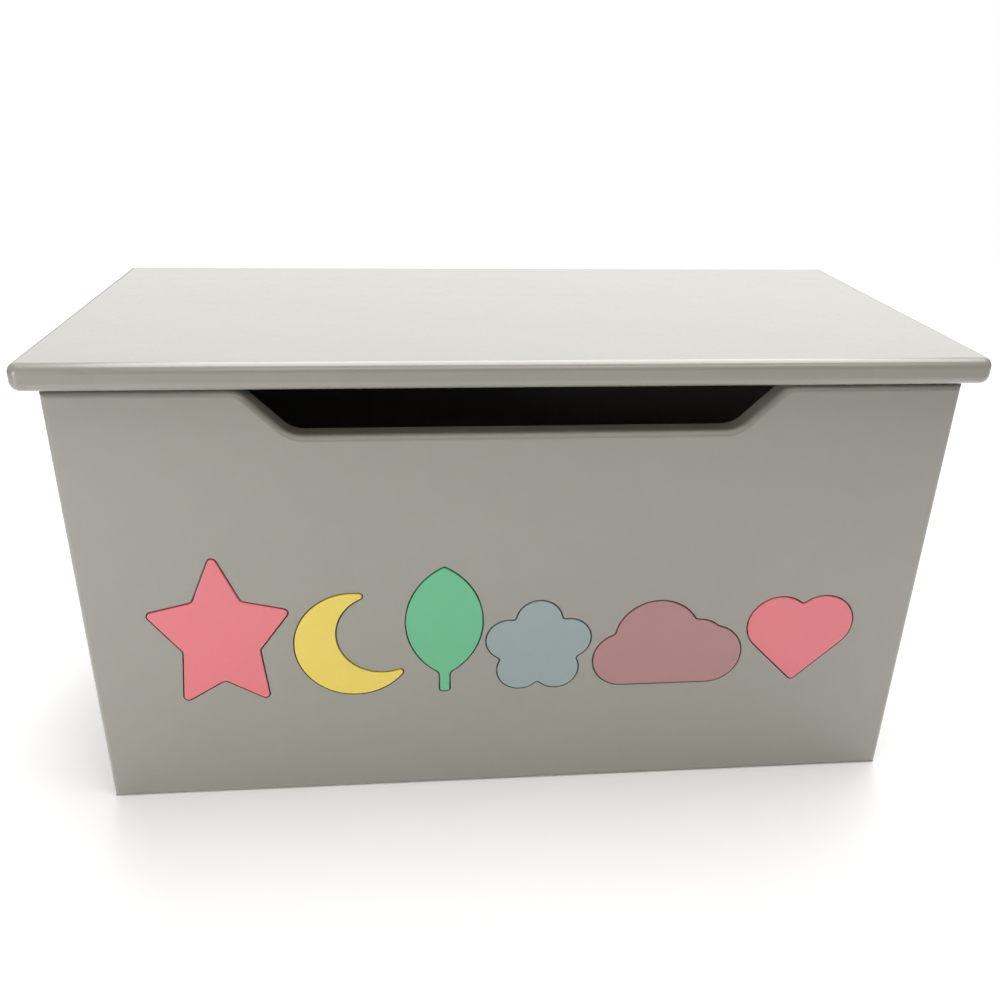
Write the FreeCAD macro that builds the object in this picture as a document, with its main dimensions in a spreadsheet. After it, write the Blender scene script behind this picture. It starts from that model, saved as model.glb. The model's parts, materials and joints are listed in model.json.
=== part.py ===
import FreeCAD, Part

import math
import os
import Sketcher

# A painted wooden toy box: five boards, six shapes let into the front, a lid on a piano hinge and
# a folding friction stay. Millimetres. +X is to the right, +Y to the back, +Z up, and the origin
# is on the floor under the middle of the whole box.

SIZES = {
    # carcass
    "body_width": 600,
    "body_depth": 288,
    "wall_height": 321,
    "board": 18,
    "board_round": 4,
    "rim_round": 2,
    "base_thickness": 12,
    "cleat": 20,
    "cleat_lift": 5,
    "board_gap": 0.5,
    # finger notch in the front board
    "notch_width": 297,
    "notch_depth": 31,
    "notch_slope": 45,
    "notch_low_round": 20,
    "notch_high_round": 12,
    "notch_edge_round": 3.5,
    # lid board
    "lid_thickness": 18,
    "lid_side_overhang": 14.5,
    "lid_front_overhang": 8,
    "lid_corner_round": 7,
    "lid_edge_round": 6,
    "bumper_radius": 5,
    "bumper_gap": 0.3,
    "bumper_round": 0.5,
    "bumper_inset": 30,
    # shapes let into the front board
    "inlay_depth": 6,
    "inlay_proud": 0.7,
    "inlay_kerf": 1,
    "inlay_edge_round": 0.7,
    "inlay_baseline": 87,
    "inlay_spacing": 3,
    "star_width": 100,
    "star_height": 122,
    "moon_width": 80,
    "leaf_width": 55,
    "leaf_height": 102,
    "flower_width": 78,
    "cloud_width": 112,
    "heart_width": 80,
    # dowels in the four upright joints
    "dowel_radius": 4,
    "dowel_length": 36,
    "dowel_chamfer": 0.8,
    "dowel_seat": 12,
    "dowel_first": 45,
    "dowel_last": 51,
    "dowel_count": 4,
    "glue_gap": 0.05,
    # piano hinge
    "hinge_length": 560,
    "knuckle_count": 20,
    "knuckle_radius": 2.5,
    "knuckle_gap": 0.3,
    "pin_radius": 1.1,
    "running_gap": 0.05,
    "leaf_thickness": 0.9,
    "leaf_gap": 0.2,
    "leaf_width_on_hinge": 17,
    "hinge_screw_count": 7,
    "hinge_screw_pitch": 88,
    "hinge_screw_inset": 8,
    # lid stay, measured from the hinge axis
    "stay_wall_back": 41,
    "stay_wall_drop": 61,
    "stay_lid_reach": 120,
    "stay_lid_drop": 19,
    "stay_metal": 2,
    "stay_washer": 0.6,
    "stay_layer_gap": 0.1,
    "arm_round": 9,
    "link_round": 7.5,
    "bracket_round": 12,
    "bracket_screw_offset": 18,
    "hub_radius": 15,
    "hub_height": 8,
    "hub_rim_height": 4.4,
    "hub_bevel": 4.2,
    "hub_recess": 4,
    "bolt_radius": 3,
    "bolt_head_radius": 5.7,
    "bolt_head_height": 3,
    "bolt_head_bevel": 1.2,
    "bolt_head_gap": 0.7,
    "bolt_slot_width": 1.1,
    "bolt_slot_depth": 1.4,
    "rivet_radius": 2.5,
    "rivet_head_radius": 4.5,
    "rivet_head_height": 1.3,
    "rivet_crown_radius": 2.7,
    "rivet_rim_height": 0.6,
    "washer_radius": 5.8,
    "friction_disc_radius": 11.4,
    "foot_length": 40,
    "foot_width": 17,
    "foot_corner_round": 3.75,
    "flange_margin": 2,
    "bend_round": 1.8,
    # wood screws: head radius, shank radius and length
    "carcass_head": 4,
    "carcass_shank": 2,
    "cleat_screw_length": 30,
    "base_screw_length": 24,
    "small_head": 2.8,
    "small_shank": 1.5,
    "small_screw_length": 13,
    "screw_inset": 70,
    "foot_screw_inset": 7,
}

X_AXIS = FreeCAD.Vector(1, 0, 0)
Y_AXIS = FreeCAD.Vector(0, 1, 0)
Z_AXIS = FreeCAD.Vector(0, 0, 1)
DOWN = FreeCAD.Vector(0, 0, -1)

doc = FreeCAD.newDocument("toy_box")
sheet = doc.addObject("Spreadsheet::Sheet", "Sizes")
for row, (alias, number) in enumerate(SIZES.items(), start=1):
    sheet.set(f"A{row}", alias)
    sheet.set(f"B{row}", str(number))
    sheet.setAlias(f"B{row}", alias)
doc.recompute()


def expr(text):
    """A formula of size names, as an expression that reads them from the sheet."""
    words = []
    word = ""
    for letter in text + " ":
        if letter.isalnum() or letter == "_" or (word and letter == "."):
            word += letter
        else:
            words.append("Sizes." + word if word in SIZES else word)
            words.append(letter)
            word = ""
    return "".join(words).strip()


def size(text):
    """The number that a formula of size names gives now."""
    return float(sheet.evalExpression(expr(text)))


# Places that several pieces share, as formulas.
LID_GAP = "(2 * leaf_thickness + leaf_gap)"
PIN_BEHIND = "(knuckle_gap + knuckle_radius)"
OVERALL_DEPTH = f"(lid_front_overhang + body_depth + {PIN_BEHIND} + knuckle_radius)"
FRONT = f"(lid_front_overhang - {OVERALL_DEPTH} / 2)"
BACK = f"({FRONT} + body_depth)"
INNER_WIDTH = "(body_width - 2 * board)"
INNER_DEPTH = "(body_depth - 2 * board)"
FLOOR_TOP = "(cleat_lift + cleat + base_thickness)"
LID_BOTTOM = f"(wall_height + {LID_GAP})"
HINGE_Y = f"({BACK} + {PIN_BEHIND})"
HINGE_Z = f"(wall_height + {LID_GAP} / 2)"


def place(thing, x="0", y="0", z="0"):
    """Ties the place of an object to formulas."""
    for axis, text in (("x", x), ("y", y), ("z", z)):
        thing.setExpression(f"Placement.Base.{axis}", expr(text))
    return thing


def new_sketch(body, name, plane):
    sketch = body.newObject("Sketcher::SketchObject", name)
    plane_feature = next(f for f in body.Origin.OriginFeatures if f.Role == plane)
    sketch.AttachmentSupport = [(plane_feature, "")]
    sketch.MapMode = "FlatFace"
    return sketch


def pin_point(sketch, geometry, point, x, y):
    """Locks one point of a sketch at formulas of its x and y."""
    for kind, text in (("DistanceX", x), ("DistanceY", y)):
        lock = Sketcher.Constraint(kind, -1, 1, geometry, point, size(text))
        number = sketch.addConstraint(lock)
        sketch.setExpression(f"Constraints[{number}]", expr(text))


def draw_polygon(sketch, corners):
    """A closed outline of straight lines through corners given as pairs of formulas."""
    points = [FreeCAD.Vector(size(x), size(y), 0) for x, y in corners]
    first = sketch.GeometryCount
    count = len(points)
    for i, point in enumerate(points):
        sketch.addGeometry(Part.LineSegment(point, points[(i + 1) % count]), False)
    for i in range(count):
        following = first + (i + 1) % count
        sketch.addConstraint(Sketcher.Constraint("Coincident", first + i, 2, following, 1))
    for i, (x, y) in enumerate(corners):
        pin_point(sketch, first + i, 1, x, y)


def draw_rectangle(sketch, left, low, right, high):
    draw_polygon(sketch, [(left, low), (right, low), (right, high), (left, high)])


def draw_circle(sketch, x, y, radius):
    centre = FreeCAD.Vector(size(x), size(y), 0)
    number = sketch.addGeometry(Part.Circle(centre, Z_AXIS, size(radius)), False)
    pin_point(sketch, number, 3, x, y)
    lock = sketch.addConstraint(Sketcher.Constraint("Radius", number, size(radius)))
    sketch.setExpression(f"Constraints[{lock}]", expr(radius))


def draw_slot(sketch, start, finish, radius):
    """An outline with round ends centred on two points given as pairs of formulas."""
    ends = [FreeCAD.Vector(size(x), size(y), 0) for x, y in (start, finish)]
    along = ends[1] - ends[0]
    turn = math.atan2(along.y, along.x)
    side = FreeCAD.Vector(-math.sin(turn), math.cos(turn), 0) * size(radius)
    quarter = math.pi / 2
    arcs = []
    for centre, begin in ((ends[0], turn + quarter), (ends[1], turn - quarter)):
        circle = Part.Circle(centre, Z_AXIS, size(radius))
        arcs.append(sketch.addGeometry(Part.ArcOfCircle(circle, begin, begin + math.pi), False))
    low = sketch.addGeometry(Part.LineSegment(ends[0] - side, ends[1] - side), False)
    high = sketch.addGeometry(Part.LineSegment(ends[1] + side, ends[0] + side), False)
    joints = ((arcs[0], 2, low, 1), (low, 2, arcs[1], 1), (arcs[1], 2, high, 1))
    for joint in joints + ((high, 2, arcs[0], 1),):
        sketch.addConstraint(Sketcher.Constraint("Tangent", *joint))
    for arc, (x, y) in zip(arcs, (start, finish)):
        pin_point(sketch, arc, 3, x, y)
    lock = sketch.addConstraint(Sketcher.Constraint("Radius", arcs[0], size(radius)))
    sketch.setExpression(f"Constraints[{lock}]", expr(radius))


def pad(body, sketch, length, reverse=False):
    feature = body.newObject("PartDesign::Pad", sketch.Name + "_pad")
    feature.Profile = sketch
    feature.setExpression("Length", expr(length))
    feature.Reversed = reverse
    doc.recompute()
    return feature


def pocket_through(body, sketch):
    feature = body.newObject("PartDesign::Pocket", sketch.Name + "_pocket")
    feature.Profile = sketch
    feature.Type = "ThroughAll"
    feature.Midplane = True
    doc.recompute()
    return feature


def edges_where(shape, test):
    """The names of the edges whose middle point and direction pass a test."""
    names = []
    for number, edge in enumerate(shape.Edges, start=1):
        middle = edge.valueAt((edge.FirstParameter + edge.LastParameter) / 2)
        ends = edge.Vertexes
        along = (ends[-1].Point - ends[0].Point) if len(ends) > 1 else FreeCAD.Vector()
        if test(middle, along):
            names.append(f"Edge{number}")
    return names


def round_edges(body, name, radius, test):
    """Rounds the edges of a body's newest feature that pass a test."""
    base = body.Tip
    feature = body.newObject("PartDesign::Fillet", name)
    feature.Base = (base, edges_where(base.Shape, test))
    feature.setExpression("Radius", expr(radius))
    doc.recompute()
    return feature


def near(value, target):
    return abs(value - target) < 1e-4


def runs_along(direction, axis):
    """True for an edge that runs along an axis."""
    return direction.Length > 1e-6 and direction.cross(axis).Length < 1e-6 * direction.Length


def new_board(label, width, depth, height):
    """A square-edged board whose lowest corner is at its body's origin."""
    body = doc.addObject("PartDesign::Body", label)
    sketch = new_sketch(body, label + "_outline", "XY_Plane")
    draw_rectangle(sketch, "0", "0", width, depth)
    pad(body, sketch, height)
    return body


def feature(name, shape):
    thing = doc.addObject("Part::Feature", name)
    thing.Shape = shape
    return thing


def copies(solid, places):
    """One compound with a copy of a solid at each place."""
    shapes = []
    for spot in places:
        shape = solid.copy()
        shape.Placement = spot
        shapes.append(shape)
    return Part.makeCompound(shapes)


finished = []


def keep(thing, label):
    """Marks an object as a finished sub-part, whose label names its file."""
    thing.Label = label
    finished.append(thing)
    return thing


def drill(board, label, *cutters):
    """Takes each cutter out of a board, and keeps what is left as a sub-part."""
    board.Label = label + "_blank"
    tool = doc.addObject("Part::Compound", label + "_cutters")
    tool.Links = list(cutters)
    cut = doc.addObject("Part::Cut", label + "_cut")
    cut.Base = board
    cut.Tool = tool
    doc.recompute()
    if cut.Shape.Volume >= board.Shape.Volume:
        raise RuntimeError(f"the cutters of {label} took nothing away")
    return keep(cut, label)


# ---------------------------------------------------------------- fastenings


def wood_screw(head, shank, length, clearance=0.0):
    """A countersunk screw along -Z with its head flush at the origin, or the hole for one."""
    head_radius = size(head) + clearance
    shank_radius = size(shank) + clearance
    tip = size(length) + clearance
    profile = [
        FreeCAD.Vector(0, 0, clearance),
        FreeCAD.Vector(head_radius, 0, clearance),
        FreeCAD.Vector(head_radius, 0, 0),
        FreeCAD.Vector(shank_radius, 0, shank_radius - head_radius),
        FreeCAD.Vector(shank_radius, 0, 2 * shank_radius - tip),
        FreeCAD.Vector(0, 0, -tip),
    ]
    if not clearance:
        profile.pop(1)
    wire = Part.makePolygon(profile + profile[:1])
    return Part.Face(wire).revolve(FreeCAD.Vector(), Z_AXIS, 360)


# A cross slot's reach, width and depth, as shares of its screw head's radius.
CROSS_REACH = 1.1
CROSS_WIDTH = 0.24
CROSS_DEPTH = 0.45


def with_cross_slot(screw, head):
    """Cuts a cross into a screw's head."""
    long_side = size(head) * CROSS_REACH
    short_side = size(head) * CROSS_WIDTH
    deep = size(head) * CROSS_DEPTH
    for wide, thick in ((long_side, short_side), (short_side, long_side)):
        corner = FreeCAD.Vector(-wide / 2, -thick / 2, -deep)
        screw = screw.cut(Part.makeBox(wide, thick, deep * 2, corner))
    return screw


def screw_set(label, places, head, shank, length):
    """A group of screws, and the object that drills for them."""
    screw = with_cross_slot(wood_screw(head, shank, length), head)
    holes = wood_screw(head, shank, length, size("glue_gap"))
    keep(feature(label, copies(screw, places)), label)
    return feature(label + "_holes", copies(holes, places))


def facing(x, y, z, direction):
    """A place whose +Z points along a direction."""
    turn = FreeCAD.Rotation(Z_AXIS, direction)
    return FreeCAD.Placement(FreeCAD.Vector(x, y, z), turn)


def spread(low, high, count):
    """Evenly spaced numbers from low to high."""
    step = (high - low) / (count - 1)
    return [low + step * i for i in range(count)]


front_inner = size(f"{FRONT} + board")
back_inner = size(f"{BACK} - board")
wall_inner = size(INNER_WIDTH) / 2
board_middle = size("body_width / 2 - board / 2")
dowel_heights = spread(size("dowel_first"), size("wall_height - dowel_last"),
                       int(size("dowel_count")))


def dowel_places(reach):
    """Dowels in the four upright joints, each starting a reach inside a wide board."""
    places = []
    for x in (-board_middle, board_middle):
        for z in dowel_heights:
            places.append(facing(x, front_inner - reach, z, Y_AXIS))
            places.append(facing(x, back_inner + reach, z, -Y_AXIS))
    return places


dowel = Part.makeCylinder(size("dowel_radius"), size("dowel_length"))
ends = [edge for edge in dowel.Edges if isinstance(edge.Curve, Part.Circle)]
dowel = dowel.makeChamfer(size("dowel_chamfer"), ends)
dowel_hole = Part.makeCylinder(size("dowel_radius + glue_gap"), size("dowel_length + 2 * board_gap"))
keep(feature("corner_dowels", copies(dowel, dowel_places(size("dowel_seat")))), "corner_dowels")
dowel_holes = feature("dowel_holes", copies(dowel_hole, dowel_places(size("dowel_seat + board_gap"))))

# Screws that hold the cleats to the boards, from inside.
cleat_height = size("cleat_lift + cleat / 2")
long_spots = spread(size("screw_inset") - wall_inner, wall_inner - size("screw_inset"), 3)
short_low = front_inner + size("screw_inset")
short_high = back_inner - size("screw_inset")
places = [facing(x, front_inner + size("cleat"), cleat_height, Y_AXIS) for x in long_spots]
places += [facing(x, back_inner - size("cleat"), cleat_height, -Y_AXIS) for x in long_spots]
for y in (short_low, short_high):
    places.append(facing(-wall_inner + size("cleat"), y, cleat_height, X_AXIS))
    places.append(facing(wall_inner - size("cleat"), y, cleat_height, -X_AXIS))
cleat_holes = screw_set("cleat_screws", places, "carcass_head", "carcass_shank", "cleat_screw_length")

# Screws that hold the base down on the cleats.
base_top = size(FLOOR_TOP)
quarter_spots = [(long_spots[0] + long_spots[1]) / 2, (long_spots[1] + long_spots[2]) / 2]
half_cleat = size("cleat") / 2
places = [facing(x, y, base_top, Z_AXIS) for x in quarter_spots
          for y in (front_inner + half_cleat, back_inner - half_cleat)]
places += [facing(x, (short_low + short_high) / 2, base_top, Z_AXIS)
           for x in (half_cleat - wall_inner, wall_inner - half_cleat)]
base_holes = screw_set("base_screws", places, "carcass_head", "carcass_shank", "base_screw_length")

# Screws of the hinge, down into the back board and up into the lid.
hinge_spots = spread(-(size("hinge_screw_count") - 1) / 2 * size("hinge_screw_pitch"),
                     (size("hinge_screw_count") - 1) / 2 * size("hinge_screw_pitch"),
                     int(size("hinge_screw_count")))
hinge_screw_y = size(f"{BACK} - hinge_screw_inset")
leaf_top = size("wall_height + leaf_thickness")
places = [facing(x, hinge_screw_y, leaf_top, Z_AXIS) for x in hinge_spots]
hinge_back_holes = screw_set("hinge_screws_back", places, "small_head", "small_shank",
                             "small_screw_length")
leaf_low = size(f"{LID_BOTTOM} - leaf_thickness")
places = [facing(x, hinge_screw_y, leaf_low, DOWN) for x in hinge_spots]
hinge_lid_holes = screw_set("hinge_screws_lid", places, "small_head", "small_shank",
                            "small_screw_length")

# ---------------------------------------------------------------- places of the lid stay

# The stay lies in layers that start at the right board's inner face and go inwards.
STAY_LAYER = "(stay_washer + 2 * stay_layer_gap)"
ARM_NEAR = f"(stay_metal + {STAY_LAYER})"
LINK_NEAR = f"({ARM_NEAR} + stay_metal + {STAY_LAYER})"
WALL_PIVOT = ("-stay_wall_back", "-stay_wall_drop")
LID_PIVOT = ("-stay_lid_reach", "-stay_lid_drop")
ELBOW = ("-stay_lid_reach - stay_wall_back", "-stay_lid_drop - stay_wall_drop")
hinge_y = size(HINGE_Y)
hinge_z = size(HINGE_Z)


def stay_x(depth):
    """The X of a formula of depth, measured inwards from the right board."""
    return wall_inner - size(depth)


def on_stay(pivot, depth, direction=-X_AXIS):
    """A place on one of the stay's pivots, at a depth inwards from the right board."""
    y = hinge_y + size(pivot[0])
    z = hinge_z + size(pivot[1])
    return facing(stay_x(depth), y, z, direction)


places = []
for side in (-1, 1):
    spot = on_stay(WALL_PIVOT, "stay_metal")
    spot.Base.z += side * size("bracket_screw_offset")
    places.append(spot)
stay_wall_holes = screw_set("stay_wall_screws", places, "small_head", "small_shank",
                            "small_screw_length")
FOOT_SCREW = f"({ARM_NEAR} + stay_metal + (foot_width - stay_metal) / 2)"
places = []
for side in (-1, 1):
    spot = on_stay(LID_PIVOT, FOOT_SCREW, DOWN)
    spot.Base.y += side * size("foot_length / 2 - foot_screw_inset")
    spot.Base.z = size(f"{LID_BOTTOM} - stay_metal")
    places.append(spot)
stay_lid_holes = screw_set("stay_lid_screws", places, "small_head", "small_shank",
                           "small_screw_length")

# ---------------------------------------------------------------- shapes let into the front


# Each shape is drawn about its own middle. The shares below are of its width, height or radius.
STAR_VALLEY = 0.53
MOON_ROUND = 0.53
BITE_ROUND = 0.78
BITE_PLACE = (0.47, 0.2)
BLADE_HALF = 0.44
STALK_HALF_WIDTH = 3.5
STALK_FOOT = 0.58
STALK_TOP = 0.26
PETAL = 1 / 4.7
PETAL_RING = 1.38
CLOUD_END = 0.2
CLOUD_PUFFS = ((-0.5 + CLOUD_END, 0, CLOUD_END), (-0.08, 0.16, 0.28), (0.19, 0.1, 0.19),
               (0.5 - CLOUD_END * 1.1, 0.02, CLOUD_END * 1.1))


def disc(x, y, radius):
    return Part.makeCylinder(radius, 1, FreeCAD.Vector(x, y, 0))


def prism(corners):
    points = [FreeCAD.Vector(x, y, 0) for x, y in corners]
    return Part.Face(Part.makePolygon(points + points[:1])).extrude(Z_AXIS)


def outline(solid, tip=0.0, hollow=0.0):
    """The outline of a flat solid, with its tips and its hollow corners rounded."""
    wire = solid.slice(Z_AXIS, 0.5)[0]
    wire.translate(FreeCAD.Vector(0, 0, -0.5))
    for step in (hollow, -hollow, -tip, tip):
        if step:
            wire = wire.makeOffset2D(step, join=0)
    return wire


def star():
    corners = []
    wide = size("star_width") / 2 / math.cos(math.radians(18))
    high = size("star_height") / (1 + math.cos(math.radians(36)))
    for point in range(10):
        reach = 1 if point % 2 == 0 else STAR_VALLEY
        angle = math.radians(90 + 36 * point)
        corners.append((wide * reach * math.cos(angle), high * reach * math.sin(angle)))
    return outline(prism(corners), tip=3, hollow=5)


def moon():
    radius = size("moon_width") * MOON_ROUND
    x, y = BITE_PLACE
    bite = disc(radius * x, radius * y, radius * BITE_ROUND)
    return outline(disc(0, 0, radius).cut(bite), tip=2)


def leaf():
    half = size("leaf_width") / 2
    high = size("leaf_height")
    radius = (half ** 2 + (high * BLADE_HALF) ** 2) / (2 * half)
    blade = disc(radius - half, 0, radius).common(disc(half - radius, 0, radius))
    foot = -high * STALK_FOOT
    top = -high * STALK_TOP
    stalk = prism([(-STALK_HALF_WIDTH, foot), (STALK_HALF_WIDTH, foot),
                   (STALK_HALF_WIDTH, top), (-STALK_HALF_WIDTH, top)])
    return outline(blade.fuse(stalk), tip=2, hollow=4)


def flower():
    petal = size("flower_width") * PETAL
    ring = petal * PETAL_RING
    shape = disc(0, 0, ring)
    for number in range(5):
        angle = math.radians(90 + 72 * number)
        shape = shape.fuse(disc(ring * math.cos(angle), ring * math.sin(angle), petal))
    return outline(shape, hollow=3)


def cloud():
    wide = size("cloud_width")
    puffs = [disc(x * wide, y * wide, radius * wide) for x, y, radius in CLOUD_PUFFS]
    left = CLOUD_PUFFS[0][0] * wide
    right = CLOUD_PUFFS[-1][0] * wide
    low = -CLOUD_END * wide
    underside = prism([(left, low), (right, low), (right, 0), (left, 0)])
    return outline(underside.fuse(puffs), hollow=4)


def heart():
    side = size("heart_width") / (1 + math.sqrt(0.5))
    step = side * math.sqrt(0.5)
    square = prism([(0, -step), (step, 0), (0, step), (-step, 0)])
    lobes = [disc(sign * step / 2, step / 2, side / 2) for sign in (-1, 1)]
    return outline(square.fuse(lobes), tip=3, hollow=3)


def inlay(label, wire, x):
    """A shape that stands on the baseline, with its middle at x, and its glued-in pocket."""
    box = wire.BoundBox
    left = FreeCAD.Vector(x - (box.XMin + box.XMax) / 2, 0, 0)
    drawing = feature(label + "_drawing", wire)
    drawing.Placement = FreeCAD.Placement(left, FreeCAD.Rotation(X_AXIS, 90))
    drawing.setExpression("Placement.Base.y", expr(FRONT + " + inlay_depth"))
    drawing.setExpression("Placement.Base.z", expr(f"inlay_baseline - ({box.YMin:.6f})"))
    blank = doc.addObject("Part::Extrusion", label + "_blank")
    blank.Base = drawing
    blank.DirMode = "Custom"
    blank.Dir = -Y_AXIS
    blank.Solid = True
    blank.setExpression("LengthFwd", expr("inlay_depth + inlay_proud"))
    doc.recompute()
    face = size(f"{FRONT} - inlay_proud")
    rounded = doc.addObject("Part::Fillet", label + "_rounded")
    rounded.Base = blank
    names = edges_where(blank.Shape, lambda middle, along: near(middle.y, face))
    radius = size("inlay_edge_round")
    rounded.Edges = [(int(name[4:]), radius, radius) for name in names]
    keep(rounded, label)
    wider = doc.addObject("Part::Offset2D", label + "_kerf")
    wider.Source = drawing
    wider.Join = 0
    wider.setExpression("Value", expr("inlay_kerf"))
    pocket = doc.addObject("Part::Extrusion", label + "_pocket")
    pocket.Base = wider
    pocket.DirMode = "Custom"
    pocket.Dir = -Y_AXIS
    pocket.Solid = True
    pocket.setExpression("LengthFwd", expr("inlay_depth * 2"))
    doc.recompute()
    return pocket


outlines = {"inlay_star": star(), "inlay_moon": moon(), "inlay_leaf": leaf(),
            "inlay_flower": flower(), "inlay_cloud": cloud(), "inlay_heart": heart()}
widths = {label: wire.BoundBox.XLength for label, wire in outlines.items()}
row_width = sum(widths.values()) + size("inlay_spacing") * (len(widths) - 1)
inlay_pockets = []
left_edge = -row_width / 2
for label, wire in outlines.items():
    inlay_pockets.append(inlay(label, wire, left_edge + widths[label] / 2))
    left_edge += widths[label] + size("inlay_spacing")

# ---------------------------------------------------------------- carcass boards

HALF_NOTCH = "(notch_width / 2)"
NOTCH_TOP = f"({HALF_NOTCH} + notch_depth / tan(notch_slope * 1 deg))"
SILL = "(wall_height - notch_depth)"

front = doc.addObject("PartDesign::Body", "front_board")
front_outline = new_sketch(front, "front_outline", "XZ_Plane")
draw_polygon(front_outline, [
    ("-body_width / 2", "0"),
    ("body_width / 2", "0"),
    ("body_width / 2", "wall_height"),
    (NOTCH_TOP, "wall_height"),
    (HALF_NOTCH, SILL),
    ("-" + HALF_NOTCH, SILL),
    ("-" + NOTCH_TOP, "wall_height"),
    ("-body_width / 2", "wall_height"),
])
pad(front, front_outline, "board", reverse=True)
place(front, y=FRONT)
sill = size(SILL)
half_notch = size(HALF_NOTCH)
notch_top = size(NOTCH_TOP)
rim = size("wall_height")
round_edges(front, "notch_low_corners", "notch_low_round",
            lambda m, d: runs_along(d, Y_AXIS) and near(m.z, sill) and near(abs(m.x), half_notch))
round_edges(front, "notch_high_corners", "notch_high_round",
            lambda m, d: runs_along(d, Y_AXIS) and near(m.z, rim) and near(abs(m.x), notch_top))
# The body's own Y starts at the front face, and its far face is one board further back.
board = size("board")
round_edges(front, "front_face_edges", "board_round",
            lambda m, d: near(m.y, 0))
notch_back = notch_top + size("notch_high_round")
round_edges(front, "notch_back_edges", "notch_edge_round",
            lambda m, d: near(m.y, board) and abs(m.x) < notch_back and m.z > sill - 1)
drill(front, "front_panel", dowel_holes, cleat_holes, *inlay_pockets)

back = new_board("back_board", "body_width", "board", "wall_height")
place(back, "-body_width / 2", f"{BACK} - board", "0")
round_edges(back, "back_outer_edges", "board_round",
            lambda m, d: near(m.y, board) and not near(m.z, rim))
round_edges(back, "back_rim_edge", "rim_round",
            lambda m, d: near(m.y, 0) and near(m.z, rim))
drill(back, "back_panel", dowel_holes, cleat_holes, hinge_back_holes)

for label, x in (("left_side", "-body_width / 2"), ("right_side", "body_width / 2 - board")):
    side = new_board(label + "_board", "board", INNER_DEPTH, "wall_height")
    place(side, x, f"{FRONT} + board", "0")
    round_edges(side, label + "_rim_edges", "rim_round",
                lambda m, d: runs_along(d, Y_AXIS) and near(m.z, rim))
    holes = [dowel_holes, cleat_holes]
    if label == "right_side":
        holes.append(stay_wall_holes)
    drill(side, label, *holes)

base = new_board("base_board", f"{INNER_WIDTH} - 2 * board_gap", f"{INNER_DEPTH} - 2 * board_gap",
                 "base_thickness")
place(base, f"board_gap - {INNER_WIDTH} / 2", f"{FRONT} + board + board_gap", "cleat_lift + cleat")
drill(base, "base_panel", base_holes)

CROSS_LENGTH = f"({INNER_WIDTH} - 2 * cleat - 2 * board_gap)"
CLEATS = {
    "base_cleat_front": (CROSS_LENGTH, "cleat", f"-{CROSS_LENGTH} / 2", f"{FRONT} + board"),
    "base_cleat_back": (CROSS_LENGTH, "cleat", f"-{CROSS_LENGTH} / 2", f"{BACK} - board - cleat"),
    "base_cleat_left": ("cleat", INNER_DEPTH, f"-{INNER_WIDTH} / 2", f"{FRONT} + board"),
    "base_cleat_right": ("cleat", INNER_DEPTH, f"{INNER_WIDTH} / 2 - cleat", f"{FRONT} + board"),
}
for label, (width, depth, x, y) in CLEATS.items():
    cleat = new_board(label + "_bar", width, depth, "cleat")
    place(cleat, x, y, "cleat_lift")
    drill(cleat, label, cleat_holes, base_holes)

# ---------------------------------------------------------------- lid

LID_WIDTH = "(body_width + 2 * lid_side_overhang)"
LID_DEPTH = "(body_depth + lid_front_overhang)"
lid = new_board("lid_board", LID_WIDTH, LID_DEPTH, "lid_thickness")
place(lid, f"-{LID_WIDTH} / 2", f"{FRONT} - lid_front_overhang", LID_BOTTOM)
lid_depth = size(LID_DEPTH)
lid_thick = size("lid_thickness")
round_edges(lid, "lid_front_corners", "lid_corner_round",
            lambda m, d: runs_along(d, Z_AXIS) and near(m.y, 0))
round_edges(lid, "lid_edges", "lid_edge_round",
            lambda m, d: near(m.z, lid_thick) or (near(m.z, 0) and not near(m.y, lid_depth)))
drill(lid, "lid_panel", hinge_lid_holes, stay_lid_holes)

bumper_height = size(f"{LID_GAP} - bumper_gap")
bumper = Part.makeCylinder(size("bumper_radius"), bumper_height)
top_edges = [edge for edge in bumper.Edges if near(edge.BoundBox.ZMin, bumper_height)]
bumper = bumper.makeFillet(size("bumper_round"), top_edges)
bumper_y = front_inner + size("bumper_inset")
places = [facing(x, bumper_y, rim, Z_AXIS) for x in (-board_middle, board_middle)]
keep(feature("lid_bumpers", copies(bumper, places)), "lid_bumpers")

# ---------------------------------------------------------------- piano hinge

PITCH = "(hinge_length / knuckle_count)"


def hinge_leaf(label, low, first_gap, holes):
    """A hinge leaf about its pin along X: a plate from z = low up, and every second knuckle."""
    body = doc.addObject("PartDesign::Body", label + "_strip")
    plate = new_sketch(body, label + "_plate", "YZ_Plane")
    draw_rectangle(plate, "-leaf_width_on_hinge", low, "0", f"{low} + leaf_thickness")
    barrel = new_sketch(body, label + "_barrel", "YZ_Plane")
    draw_circle(barrel, "0", "0", "knuckle_radius")
    for sketch in (plate, barrel):
        pad(body, sketch, "hinge_length")
    bore = new_sketch(body, label + "_bore", "YZ_Plane")
    draw_circle(bore, "0", "0", "pin_radius + running_gap")
    pocket_through(body, bore)
    gap = new_sketch(body, label + "_gap", "XY_Plane")
    clear = "(knuckle_radius + knuckle_gap)"
    draw_rectangle(gap, f"{first_gap} * {PITCH} - knuckle_gap / 2", "-" + clear,
                   f"({first_gap} + 1) * {PITCH} + knuckle_gap / 2", clear)
    notch = pocket_through(body, gap)
    row = body.newObject("PartDesign::LinearPattern", label + "_gaps")
    row.Originals = [notch]
    row.Direction = (gap, ["H_Axis"])
    row.setExpression("Length", expr("hinge_length - 2 * " + PITCH))
    row.Occurrences = int(size("knuckle_count / 2"))
    body.Tip = row
    place(body, "-hinge_length / 2", HINGE_Y, HINGE_Z)
    drill(body, label, holes)


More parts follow.
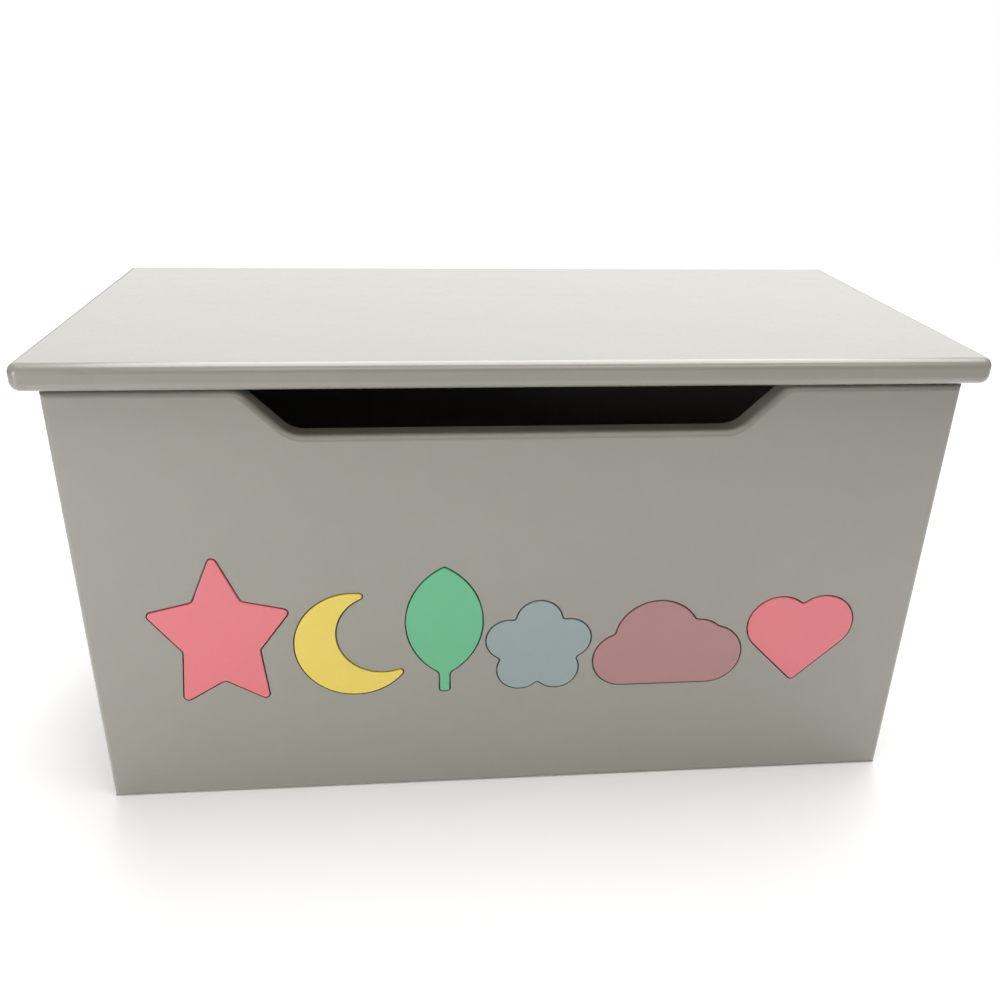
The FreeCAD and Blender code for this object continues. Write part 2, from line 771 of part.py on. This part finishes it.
hinge_leaf("hinge_leaf_back", "-(leaf_gap / 2 + leaf_thickness)", "1", hinge_back_holes)
hinge_leaf("hinge_leaf_lid", "leaf_gap / 2", "0", hinge_lid_holes)

pin = doc.addObject("Part::Cylinder", "pin")
pin.Placement.Rotation = FreeCAD.Rotation(Y_AXIS, 90)
pin.setExpression("Radius", expr("pin_radius"))
pin.setExpression("Height", expr("hinge_length"))
place(pin, "-hinge_length / 2", HINGE_Y, HINGE_Z)
keep(pin, "hinge_pin")

# ---------------------------------------------------------------- lid stay


def stay_plate(label, near_side, radius, start, finish, holes, cutter=None):
    """A flat plate with round ends, in the layer that starts near_side inwards from the wall."""
    body = doc.addObject("PartDesign::Body", label + "_plate")
    shape = new_sketch(body, label + "_outline", "YZ_Plane")
    draw_slot(shape, start, finish, radius)
    pad(body, shape, "stay_metal")
    bores = new_sketch(body, label + "_bores", "YZ_Plane")
    for (y, z), bore in holes:
        draw_circle(bores, y, z, bore)
    pocket_through(body, bores)
    place(body, f"{INNER_WIDTH} / 2 - {near_side} - stay_metal", HINGE_Y, HINGE_Z)
    if cutter:
        drill(body, label, cutter)
    else:
        keep(body, label)
    return body


def turned(profile):
    """A solid turned about Z from pairs of radius and height."""
    points = [FreeCAD.Vector(radius, 0, height) for radius, height in profile]
    wire = Part.makePolygon(points + points[:1])
    return Part.Face(wire).revolve(FreeCAD.Vector(), Z_AXIS, 360)


def washer(outer, inner, thick):
    return turned([(inner, 0), (outer, 0), (outer, thick), (inner, thick)])


def rivet(radius, grip):
    """A rivet along +Z from the underside of its first head, with a bevelled head at each end."""
    head = size("rivet_head_radius")
    high = size("rivet_head_height")
    crown = size("rivet_crown_radius")
    rim = size("rivet_rim_height")
    return turned([(0, -high), (crown, -high), (head, -rim), (head, 0), (radius, 0),
                   (radius, grip), (head, grip), (head, grip + rim),
                   (crown, grip + high), (0, grip + high)])


BOLT_HOLE = "bolt_radius + running_gap"
RIVET_HOLE = "rivet_radius + running_gap"
ELBOW_HOLE = "rivet_radius + 3 * running_gap"
SCREW_UP = (WALL_PIVOT[0], f"{WALL_PIVOT[1]} + bracket_screw_offset")
SCREW_DOWN = (WALL_PIVOT[0], f"{WALL_PIVOT[1]} - bracket_screw_offset")
stay_plate("stay_wall_bracket", "0", "bracket_round", SCREW_DOWN, SCREW_UP,
           [(WALL_PIVOT, BOLT_HOLE)], stay_wall_holes)
stay_plate("stay_main_arm", ARM_NEAR, "arm_round", ELBOW, WALL_PIVOT,
           [(ELBOW, RIVET_HOLE), (WALL_PIVOT, BOLT_HOLE)])
stay_plate("stay_link_arm", LINK_NEAR, "link_round", ELBOW, LID_PIVOT,
           [(ELBOW, ELBOW_HOLE), (LID_PIVOT, RIVET_HOLE)])

grip = size(f"{LINK_NEAR} + stay_metal - {ARM_NEAR} + 2 * stay_layer_gap")
arm_side = f"{ARM_NEAR} - stay_layer_gap"
between = f"{LINK_NEAR} - stay_layer_gap - stay_washer"
rivet_shape = rivet(size("rivet_radius"), grip)
washer_shape = washer(size("washer_radius"), size(ELBOW_HOLE), size("stay_washer"))
for joint, pivot in (("elbow", ELBOW), ("lid", LID_PIVOT)):
    for label, shape, depth in ((f"stay_{joint}_rivet", rivet_shape, arm_side),
                                (f"stay_{joint}_washer", washer_shape, between)):
        keep(feature(label, shape), label).Placement = on_stay(pivot, depth)

friction_disc = washer(size("friction_disc_radius"), size(BOLT_HOLE), size("stay_washer"))
keep(feature("stay_friction_disc", friction_disc), "stay_friction_disc").Placement = on_stay(
    WALL_PIVOT, "stay_metal + stay_layer_gap")

# The hub cap has a bevelled rim, and the bolt's head sits in the recess in its middle.
cap_start = f"({ARM_NEAR} + stay_metal + stay_layer_gap)"
hub = size("hub_radius")
tall = size("hub_height")
bore = size(BOLT_HOLE)
recess = size("hub_recess")
recess_radius = size("bolt_head_radius + bolt_head_gap")
cap = turned([(bore, 0), (hub, 0), (hub, size("hub_rim_height")),
              (hub - size("hub_bevel"), tall), (recess_radius, tall),
              (recess_radius, tall - recess), (bore, tall - recess)])
keep(feature("stay_hub_cap", cap), "stay_hub_cap").Placement = on_stay(WALL_PIVOT, cap_start)
bolt = size("bolt_radius")
bolt_head = size("bolt_head_radius")
seat = size(cap_start) + tall - recess
bolt_top = seat + size("bolt_head_height")
bevel = size("bolt_head_bevel")
bolt_shape = turned([(0, 0), (bolt, 0), (bolt, seat), (bolt_head, seat),
                     (bolt_head, bolt_top - bevel), (bolt_head - bevel, bolt_top), (0, bolt_top)])
slot_width = size("bolt_slot_width")
slot_low = FreeCAD.Vector(-bolt_head, -slot_width / 2, bolt_top - size("bolt_slot_depth"))
bolt_shape = bolt_shape.cut(Part.makeBox(bolt_head * 2, slot_width, tall, slot_low))
keep(feature("stay_pivot_bolt", bolt_shape), "stay_pivot_bolt").Placement = on_stay(WALL_PIVOT, "0")

# The lid bracket is an angle: a flange beside the link, and a foot under the lid.
bracket = doc.addObject("PartDesign::Body", "lid_bracket_angle")
angle = new_sketch(bracket, "lid_bracket_section", "XZ_Plane")
foot_low = f"({LID_GAP} / 2 - stay_metal)"
flange_low = "(-stay_lid_drop - link_round - flange_margin)"
draw_polygon(angle, [
    ("0", flange_low),
    ("stay_metal", flange_low),
    ("stay_metal", f"{LID_GAP} / 2"),
    ("stay_metal - foot_width", f"{LID_GAP} / 2"),
    ("stay_metal - foot_width", foot_low),
    ("0", foot_low),
])
pad(bracket, angle, "foot_length")
round_edges(bracket, "lid_bracket_flange_ends", "link_round",
            lambda m, d: runs_along(d, X_AXIS) and near(m.z, size(flange_low)))
round_edges(bracket, "lid_bracket_foot_ends", "foot_corner_round",
            lambda m, d: runs_along(d, Z_AXIS) and near(m.x, size("stay_metal - foot_width")))
round_edges(bracket, "lid_bracket_bend", "bend_round",
            lambda m, d: runs_along(d, Y_AXIS) and near(m.x, size("stay_metal"))
            and near(m.z, size(LID_GAP) / 2))
eye = new_sketch(bracket, "lid_bracket_eye", "YZ_Plane")
draw_circle(eye, "-foot_length / 2", LID_PIVOT[1], RIVET_HOLE)
pocket_through(bracket, eye)
place(bracket, f"{INNER_WIDTH} / 2 - {ARM_NEAR} - stay_metal",
      f"{HINGE_Y} + {LID_PIVOT[0]} + foot_length / 2", HINGE_Z)
drill(bracket, "stay_lid_bracket", stay_lid_holes)

# ---------------------------------------------------------------- checks and files

doc.recompute()
for thing in doc.Objects:
    if "Invalid" in thing.State or "Error" in thing.State:
        raise RuntimeError(f"{thing.Label} failed: {thing.State}")
for thing in finished:
    if thing.Shape.isNull() or not thing.Shape.isValid():
        raise RuntimeError(f"{thing.Label} has no valid shape")

os.makedirs("parts", exist_ok=True)
for thing in finished:
    thing.Shape.exportStep(os.path.join("parts", thing.Label + ".step"))
    print(f"{thing.Label:22s} {len(thing.Shape.Solids):3d} solids {thing.Shape.Volume:12.1f} mm3")
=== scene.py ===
import json
import math

import bpy
from mathutils import Matrix, Vector

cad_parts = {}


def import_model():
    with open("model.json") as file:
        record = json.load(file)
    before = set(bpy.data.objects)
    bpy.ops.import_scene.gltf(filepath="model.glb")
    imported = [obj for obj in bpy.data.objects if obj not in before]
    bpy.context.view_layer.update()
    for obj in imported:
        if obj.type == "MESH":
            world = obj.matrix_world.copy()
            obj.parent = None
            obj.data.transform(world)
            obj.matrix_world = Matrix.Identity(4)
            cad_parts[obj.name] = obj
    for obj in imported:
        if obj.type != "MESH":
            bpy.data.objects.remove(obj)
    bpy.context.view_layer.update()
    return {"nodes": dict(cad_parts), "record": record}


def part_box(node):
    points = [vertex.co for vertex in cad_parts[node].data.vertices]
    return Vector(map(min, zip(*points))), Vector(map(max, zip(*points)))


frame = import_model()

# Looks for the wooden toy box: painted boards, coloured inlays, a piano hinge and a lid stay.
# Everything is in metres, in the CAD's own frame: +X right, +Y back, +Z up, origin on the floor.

NODES = frame["nodes"]
MM = 0.001
FRONT_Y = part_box("front_panel")[0].y
LID_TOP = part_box("lid_panel")[1].z


# ---------------------------------------------------------------- camera

# Millimetres across the picture.
SENSOR = 36


def set_camera(location, yaw, pitch, roll, lens):
    """A camera that looks along +Y, turned right by yaw, down by pitch and anticlockwise by roll."""
    yaw, pitch, roll = (math.radians(angle) for angle in (yaw, pitch, roll))
    ahead = Vector((math.sin(yaw) * math.cos(pitch), math.cos(yaw) * math.cos(pitch), -math.sin(pitch)))
    level = Vector((math.cos(yaw), -math.sin(yaw), 0))
    upright = level.cross(ahead)
    right = math.cos(roll) * level + math.sin(roll) * upright
    up = math.cos(roll) * upright - math.sin(roll) * level
    data = bpy.data.cameras.new("camera")
    data.lens = lens
    data.sensor_width = SENSOR
    data.clip_start = 0.01
    camera = bpy.data.objects.new("camera", data)
    bpy.context.scene.collection.objects.link(camera)
    camera.rotation_mode = "QUATERNION"
    turn = [[right[i], up[i], -ahead[i]] for i in range(3)]
    camera.rotation_quaternion = Matrix(turn).to_quaternion()
    camera.location = location
    bpy.context.scene.camera = camera


set_camera((-0.0693, FRONT_Y - 0.5828, 0.5144), yaw=5.65, pitch=24.93, roll=1.30, lens=34.27)


# ---------------------------------------------------------------- material helpers

class Nodes:
    """Short calls for building one material's node tree around its Principled shader."""

    def __init__(self, name):
        self.material = bpy.data.materials.new(name)
        self.material.use_nodes = True
        self.tree = self.material.node_tree
        self.shader = self.tree.nodes["Principled BSDF"]
        self.place = self.add("ShaderNodeTexCoord").outputs["Object"]

    def add(self, kind, **settings):
        node = self.tree.nodes.new(kind)
        for key, value in settings.items():
            setattr(node, key, value)
        return node

    def link(self, source, target):
        if hasattr(source, "is_output"):
            self.tree.links.new(source, target)
        else:
            target.default_value = source

    def stretched(self, scale, source=None):
        """The object's coordinates, each multiplied by its own number."""
        node = self.add("ShaderNodeVectorMath", operation="MULTIPLY")
        self.link(source or self.place, node.inputs[0])
        node.inputs[1].default_value = scale
        return node.outputs[0]

    def noise(self, scale, detail=2.0, rough=0.5, place=None, twist=0.0):
        node = self.add("ShaderNodeTexNoise")
        self.link(place or self.place, node.inputs["Vector"])
        node.inputs["Scale"].default_value = scale
        node.inputs["Detail"].default_value = detail
        node.inputs["Roughness"].default_value = rough
        node.inputs["Distortion"].default_value = twist
        return node.outputs["Fac"]

    def spread(self, value, low, high, start=0.0, finish=1.0):
        """value between start and finish, mapped onto low to high."""
        node = self.add("ShaderNodeMapRange")
        self.link(value, node.inputs["Value"])
        node.inputs["From Min"].default_value = start
        node.inputs["From Max"].default_value = finish
        node.inputs["To Min"].default_value = low
        node.inputs["To Max"].default_value = high
        return node.outputs["Result"]

    def sums(self, operation, first, second):
        node = self.add("ShaderNodeMath", operation=operation)
        self.link(first, node.inputs[0])
        self.link(second, node.inputs[1])
        return node.outputs[0]

    def mix(self, factor, first, second):
        """first where factor is 0, second where it is 1."""
        node = self.add("ShaderNodeMix", data_type="RGBA")
        self.link(factor, node.inputs["Factor"])
        self.link(first, node.inputs[6])
        self.link(second, node.inputs[7])
        return node.outputs[2]

    def bump(self, height, distance, strength=1.0, under=None):
        node = self.add("ShaderNodeBump")
        self.link(height, node.inputs["Height"])
        node.inputs["Distance"].default_value = distance
        node.inputs["Strength"].default_value = strength
        if under is not None:
            self.link(under, node.inputs["Normal"])
        return node.outputs["Normal"]

    def finish(self, colour, roughness, normal, **sockets):
        self.link(colour, self.shader.inputs["Base Color"])
        self.link(roughness, self.shader.inputs["Roughness"])
        self.link(normal, self.shader.inputs["Normal"])
        for name, value in sockets.items():
            self.shader.inputs[name.replace("_", " ")].default_value = value
        return self.material


def rgba(colour, factor=1.0):
    return (colour[0] * factor, colour[1] * factor, colour[2] * factor, 1.0)


# ---------------------------------------------------------------- materials

def painted(name, colour, gloss=0.34, peel=1.0):
    """Satin paint put on with a foam roller: cloudy coverage, fine specks and an orange-peel skin."""
    n = Nodes(name)
    clouds = n.noise(9, 3, 0.55)
    patches = n.noise(55, 4, 0.6)
    specks = n.noise(330, 2, 0.6)
    tone = n.sums("ADD", n.spread(clouds, -0.5, 0.5), n.spread(patches, -0.6, 0.6))
    tone = n.sums("ADD", tone, n.spread(specks, -0.4, 0.4))
    tone = n.spread(tone, 0.0, 1.0, -0.75, 0.75)
    body = n.mix(tone, rgba(colour, 0.955), rgba(colour, 1.045))
    skin = n.noise(420, 2, 0.5)
    stipple = n.noise(1300, 3, 0.6)
    normal = n.bump(skin, 0.05 * MM * peel, 0.8)
    normal = n.bump(stipple, 0.02 * MM * peel, 0.7, normal)
    roughness = n.spread(n.sums("ADD", patches, specks), gloss - 0.06, gloss + 0.08, 0.6, 1.4)
    return n.finish(body, roughness, normal, Specular_IOR_Level=0.45, Coat_Weight=0.8, Coat_Roughness=0.16,
                    Coat_IOR=1.6)


# Grain and drawing marks are squeezed this much along their own axis, which draws them out.
GRAIN_SQUEEZE = 0.045
MARK_SQUEEZE = 0.02


def wood(name, pale, dark, along, ring=150.0, gloss=0.62):
    """Bare planed softwood: growth rings stretched along the grain, pores and pale rays."""
    n = Nodes(name)
    squeeze = [1.0, 1.0, 1.0]
    squeeze["XYZ".index(along)] = GRAIN_SQUEEZE
    grain = n.stretched(squeeze)
    wander = n.noise(16, 2, 0.5, grain)
    wave = n.add("ShaderNodeTexWave", wave_type="RINGS", rings_direction=along, wave_profile="SAW")
    n.link(grain, wave.inputs["Vector"])
    wave.inputs["Scale"].default_value = ring
    wave.inputs["Distortion"].default_value = 7.0
    wave.inputs["Detail"].default_value = 2.0
    wave.inputs["Detail Scale"].default_value = 0.25
    rings = n.spread(wave.outputs["Fac"], 0.0, 0.75)
    fibres = n.noise(900, 3, 0.7, grain)
    body = n.mix(rings, rgba(pale), rgba(dark))
    body = n.mix(n.spread(fibres, 0.0, 0.35, 0.45, 0.8), body, rgba(dark, 0.7))
    body = n.mix(n.spread(wander, 0.0, 0.3, 0.35, 0.75), body, rgba(pale, 0.82))
    normal = n.bump(fibres, 0.08 * MM, 0.8)
    normal = n.bump(wave.outputs["Fac"], 0.05 * MM, 0.5, normal)
    return n.finish(body, n.spread(fibres, gloss - 0.1, gloss + 0.14), normal, Specular_IOR_Level=0.35)


def plated(name, colour, brushed=None, gloss=0.3):
    """Plated steel: drawing marks along one axis, cloudy plating and small dull marks."""
    n = Nodes(name)
    squeeze = [1.0, 1.0, 1.0]
    if brushed:
        squeeze["XYZ".index(brushed)] = MARK_SQUEEZE
    marks = n.noise(1500, 3, 0.65, n.stretched(squeeze))
    clouds = n.noise(120, 3, 0.55)
    dull = n.noise(600, 2, 0.6)
    body = n.mix(n.spread(clouds, 0.0, 1.0, 0.3, 0.7), rgba(colour, 0.86), rgba(colour, 1.06))
    body = n.mix(n.spread(dull, 0.0, 0.3, 0.62, 0.85), body, rgba(colour, 0.75))
    roughness = n.spread(n.sums("ADD", marks, clouds), gloss - 0.1, gloss + 0.16, 0.6, 1.4)
    normal = n.bump(marks, 0.012 * MM, 0.8)
    normal = n.bump(dull, 0.02 * MM, 0.4, normal)
    return n.finish(body, roughness, normal, Metallic=1.0)


def moulded(name, colour, gloss=0.42):
    """Moulded plastic with a fine spark-eroded grain."""
    n = Nodes(name)
    grain = n.noise(2200, 3, 0.6)
    clouds = n.noise(150, 2, 0.5)
    body = n.mix(clouds, rgba(colour, 0.85), rgba(colour, 1.2))
    normal = n.bump(grain, 0.03 * MM, 0.8)
    return n.finish(body, n.spread(clouds, gloss - 0.05, gloss + 0.1), normal, Specular_IOR_Level=0.5)


def clear_rubber(name, colour):
    """Soft clear rubber with a little haze and dust."""
    n = Nodes(name)
    haze = n.noise(700, 3, 0.6)
    dust = n.noise(2600, 2, 0.6)
    body = n.mix(n.spread(haze, 0.0, 1.0, 0.3, 0.7), rgba(colour, 0.88), rgba(colour))
    normal = n.bump(haze, 0.02 * MM, 0.5)
    return n.finish(body, n.spread(dust, 0.18, 0.4), normal, IOR=1.45, Transmission_Weight=0.55)


GREY = (0.279, 0.272, 0.236)
CORAL = (0.730, 0.150, 0.180)
YELLOW = (0.780, 0.600, 0.070)
GREEN = (0.085, 0.455, 0.225)
BLUE = (0.250, 0.328, 0.332)
MAUVE = (0.375, 0.172, 0.176)
PINE_PALE = (0.72, 0.53, 0.32)
PINE_DARK = (0.50, 0.30, 0.14)
BEECH_PALE = (0.70, 0.50, 0.33)
BEECH_DARK = (0.54, 0.35, 0.21)

MATERIALS = {
    "carcass_paint": painted("carcass_paint", GREY),
    "lid_paint": painted("lid_paint", GREY),
    "coral_paint": painted("coral_paint", CORAL, gloss=0.45, peel=0.7),
    "yellow_paint": painted("yellow_paint", YELLOW, gloss=0.45, peel=0.7),
    "green_paint": painted("green_paint", GREEN, gloss=0.45, peel=0.7),
    "blue_paint": painted("blue_paint", BLUE, gloss=0.45, peel=0.7),
    "mauve_paint": painted("mauve_paint", MAUVE, gloss=0.45, peel=0.7),
    "raw_wood": wood("raw_wood", PINE_PALE, PINE_DARK, "X"),
    "dowel_wood": wood("dowel_wood", BEECH_PALE, BEECH_DARK, "Y", ring=260),
    "hinge_steel": plated("hinge_steel", (0.72, 0.70, 0.66), "X"),
    "screw_steel": plated("screw_steel", (0.66, 0.66, 0.65)),
    "stay_steel": plated("stay_steel", (0.70, 0.70, 0.69), "Y", gloss=0.36),
    "stay_plastic": moulded("stay_plastic", (0.035, 0.035, 0.037)),
    "bumper_rubber": clear_rubber("bumper_rubber", (0.80, 0.80, 0.77)),
}
PINE_ACROSS = wood("raw_wood_side", PINE_PALE, PINE_DARK, "Y")

SLOT_OF = {part["node"]: part["material_slot"] for part in frame["record"]["subparts"]}
for name, piece in NODES.items():
    finish = MATERIALS[SLOT_OF[name]]
    if name in ("base_cleat_left", "base_cleat_right"):
        finish = PINE_ACROSS
    for slot in piece.material_slots:
        slot.material = finish


# ---------------------------------------------------------------- floor, world and lights

# The floor is a disc round the origin, solid up to FADE_START and gone by FADE_END.
FLOOR_REACH = 3.0
FLOOR_SIDES = 96
FADE_START = 0.8
FADE_END = 2.6


def floor():
    """A round pale floor whose rim fades out into the white all round."""
    mesh = bpy.data.meshes.new("floor")
    turns = [2 * math.pi * i / FLOOR_SIDES for i in range(FLOOR_SIDES)]
    rim = [(FLOOR_REACH * math.cos(turn), FLOOR_REACH * math.sin(turn), 0) for turn in turns]
    mesh.from_pydata(rim, [], [tuple(range(FLOOR_SIDES))])
    plane = bpy.data.objects.new("floor", mesh)
    bpy.context.scene.collection.objects.link(plane)
    n = Nodes("floor")
    shade = n.mix(n.noise(3, 2), rgba((0.90, 0.90, 0.90)), rgba((0.93, 0.93, 0.93)))
    distance = n.add("ShaderNodeVectorMath", operation="LENGTH")
    n.link(n.place, distance.inputs[0])
    fade = n.add("ShaderNodeMapRange", interpolation_type="SMOOTHSTEP")
    n.link(distance.outputs["Value"], fade.inputs["Value"])
    fade.inputs["From Min"].default_value = FADE_START
    fade.inputs["From Max"].default_value = FADE_END
    fade.inputs["To Min"].default_value = 1.0
    fade.inputs["To Max"].default_value = 0.0
    n.link(fade.outputs["Result"], n.shader.inputs["Alpha"])
    roughness = n.spread(n.noise(40), 0.85, 0.95)
    mesh.materials.append(n.finish(shade, roughness, n.bump(n.noise(300), 0.02 * MM, 0.3)))


def world(seen, cast):
    """White all round: strength seen by the camera, strength cast as light."""
    scene_world = bpy.data.worlds.new("studio")
    bpy.context.scene.world = scene_world
    scene_world.use_nodes = True
    tree = scene_world.node_tree
    tree.nodes.clear()
    path = tree.nodes.new("ShaderNodeLightPath")
    sides = [tree.nodes.new("ShaderNodeBackground") for _ in range(2)]
    sides[0].inputs["Strength"].default_value = cast
    sides[1].inputs["Strength"].default_value = seen
    blend = tree.nodes.new("ShaderNodeMixShader")
    output = tree.nodes.new("ShaderNodeOutputWorld")
    tree.links.new(path.outputs["Is Camera Ray"], blend.inputs[0])
    for i, side in enumerate(sides):
        side.inputs["Color"].default_value = (1, 1, 1, 1)
        tree.links.new(side.outputs[0], blend.inputs[i + 1])
    tree.links.new(blend.outputs[0], output.inputs[0])


def softbox(name, location, target, width, height, radiance, colour=(1, 1, 1)):
    """An area light that faces target. radiance is what its own surface gives out."""
    light = bpy.data.lights.new(name, "AREA")
    light.shape = "RECTANGLE"
    light.size = width
    light.size_y = height
    light.energy = radiance * math.pi * width * height
    light.color = colour
    lamp = bpy.data.objects.new(name, light)
    bpy.context.scene.collection.objects.link(lamp)
    lamp.location = location
    lamp.visible_camera = False
    lamp.rotation_mode = "QUATERNION"
    lamp.rotation_quaternion = (Vector(target) - Vector(location)).to_track_quat("-Z", "Y")


floor()
world(seen=1.0, cast=0.19)
softbox("key", (0.3, 0.75, 2.4), (0.25, 0.75, 0), 3.4, 2.6, 4.25)
softbox("back", (0.3, 3.2, 1.5), (0, 0, LID_TOP), 7.0, 1.8, 0.95)
softbox("side", (-0.85, -0.80, 0.33), (-0.15, FRONT_Y, 0.15), 0.45, 0.5, 3.9)
softbox("front", (0.35, -1.95, 1.65), (0, FRONT_Y, 0.25), 2.2, 0.6, 2.3, (1.0, 0.90, 0.77))

bpy.context.scene.view_settings.view_transform = "Standard"
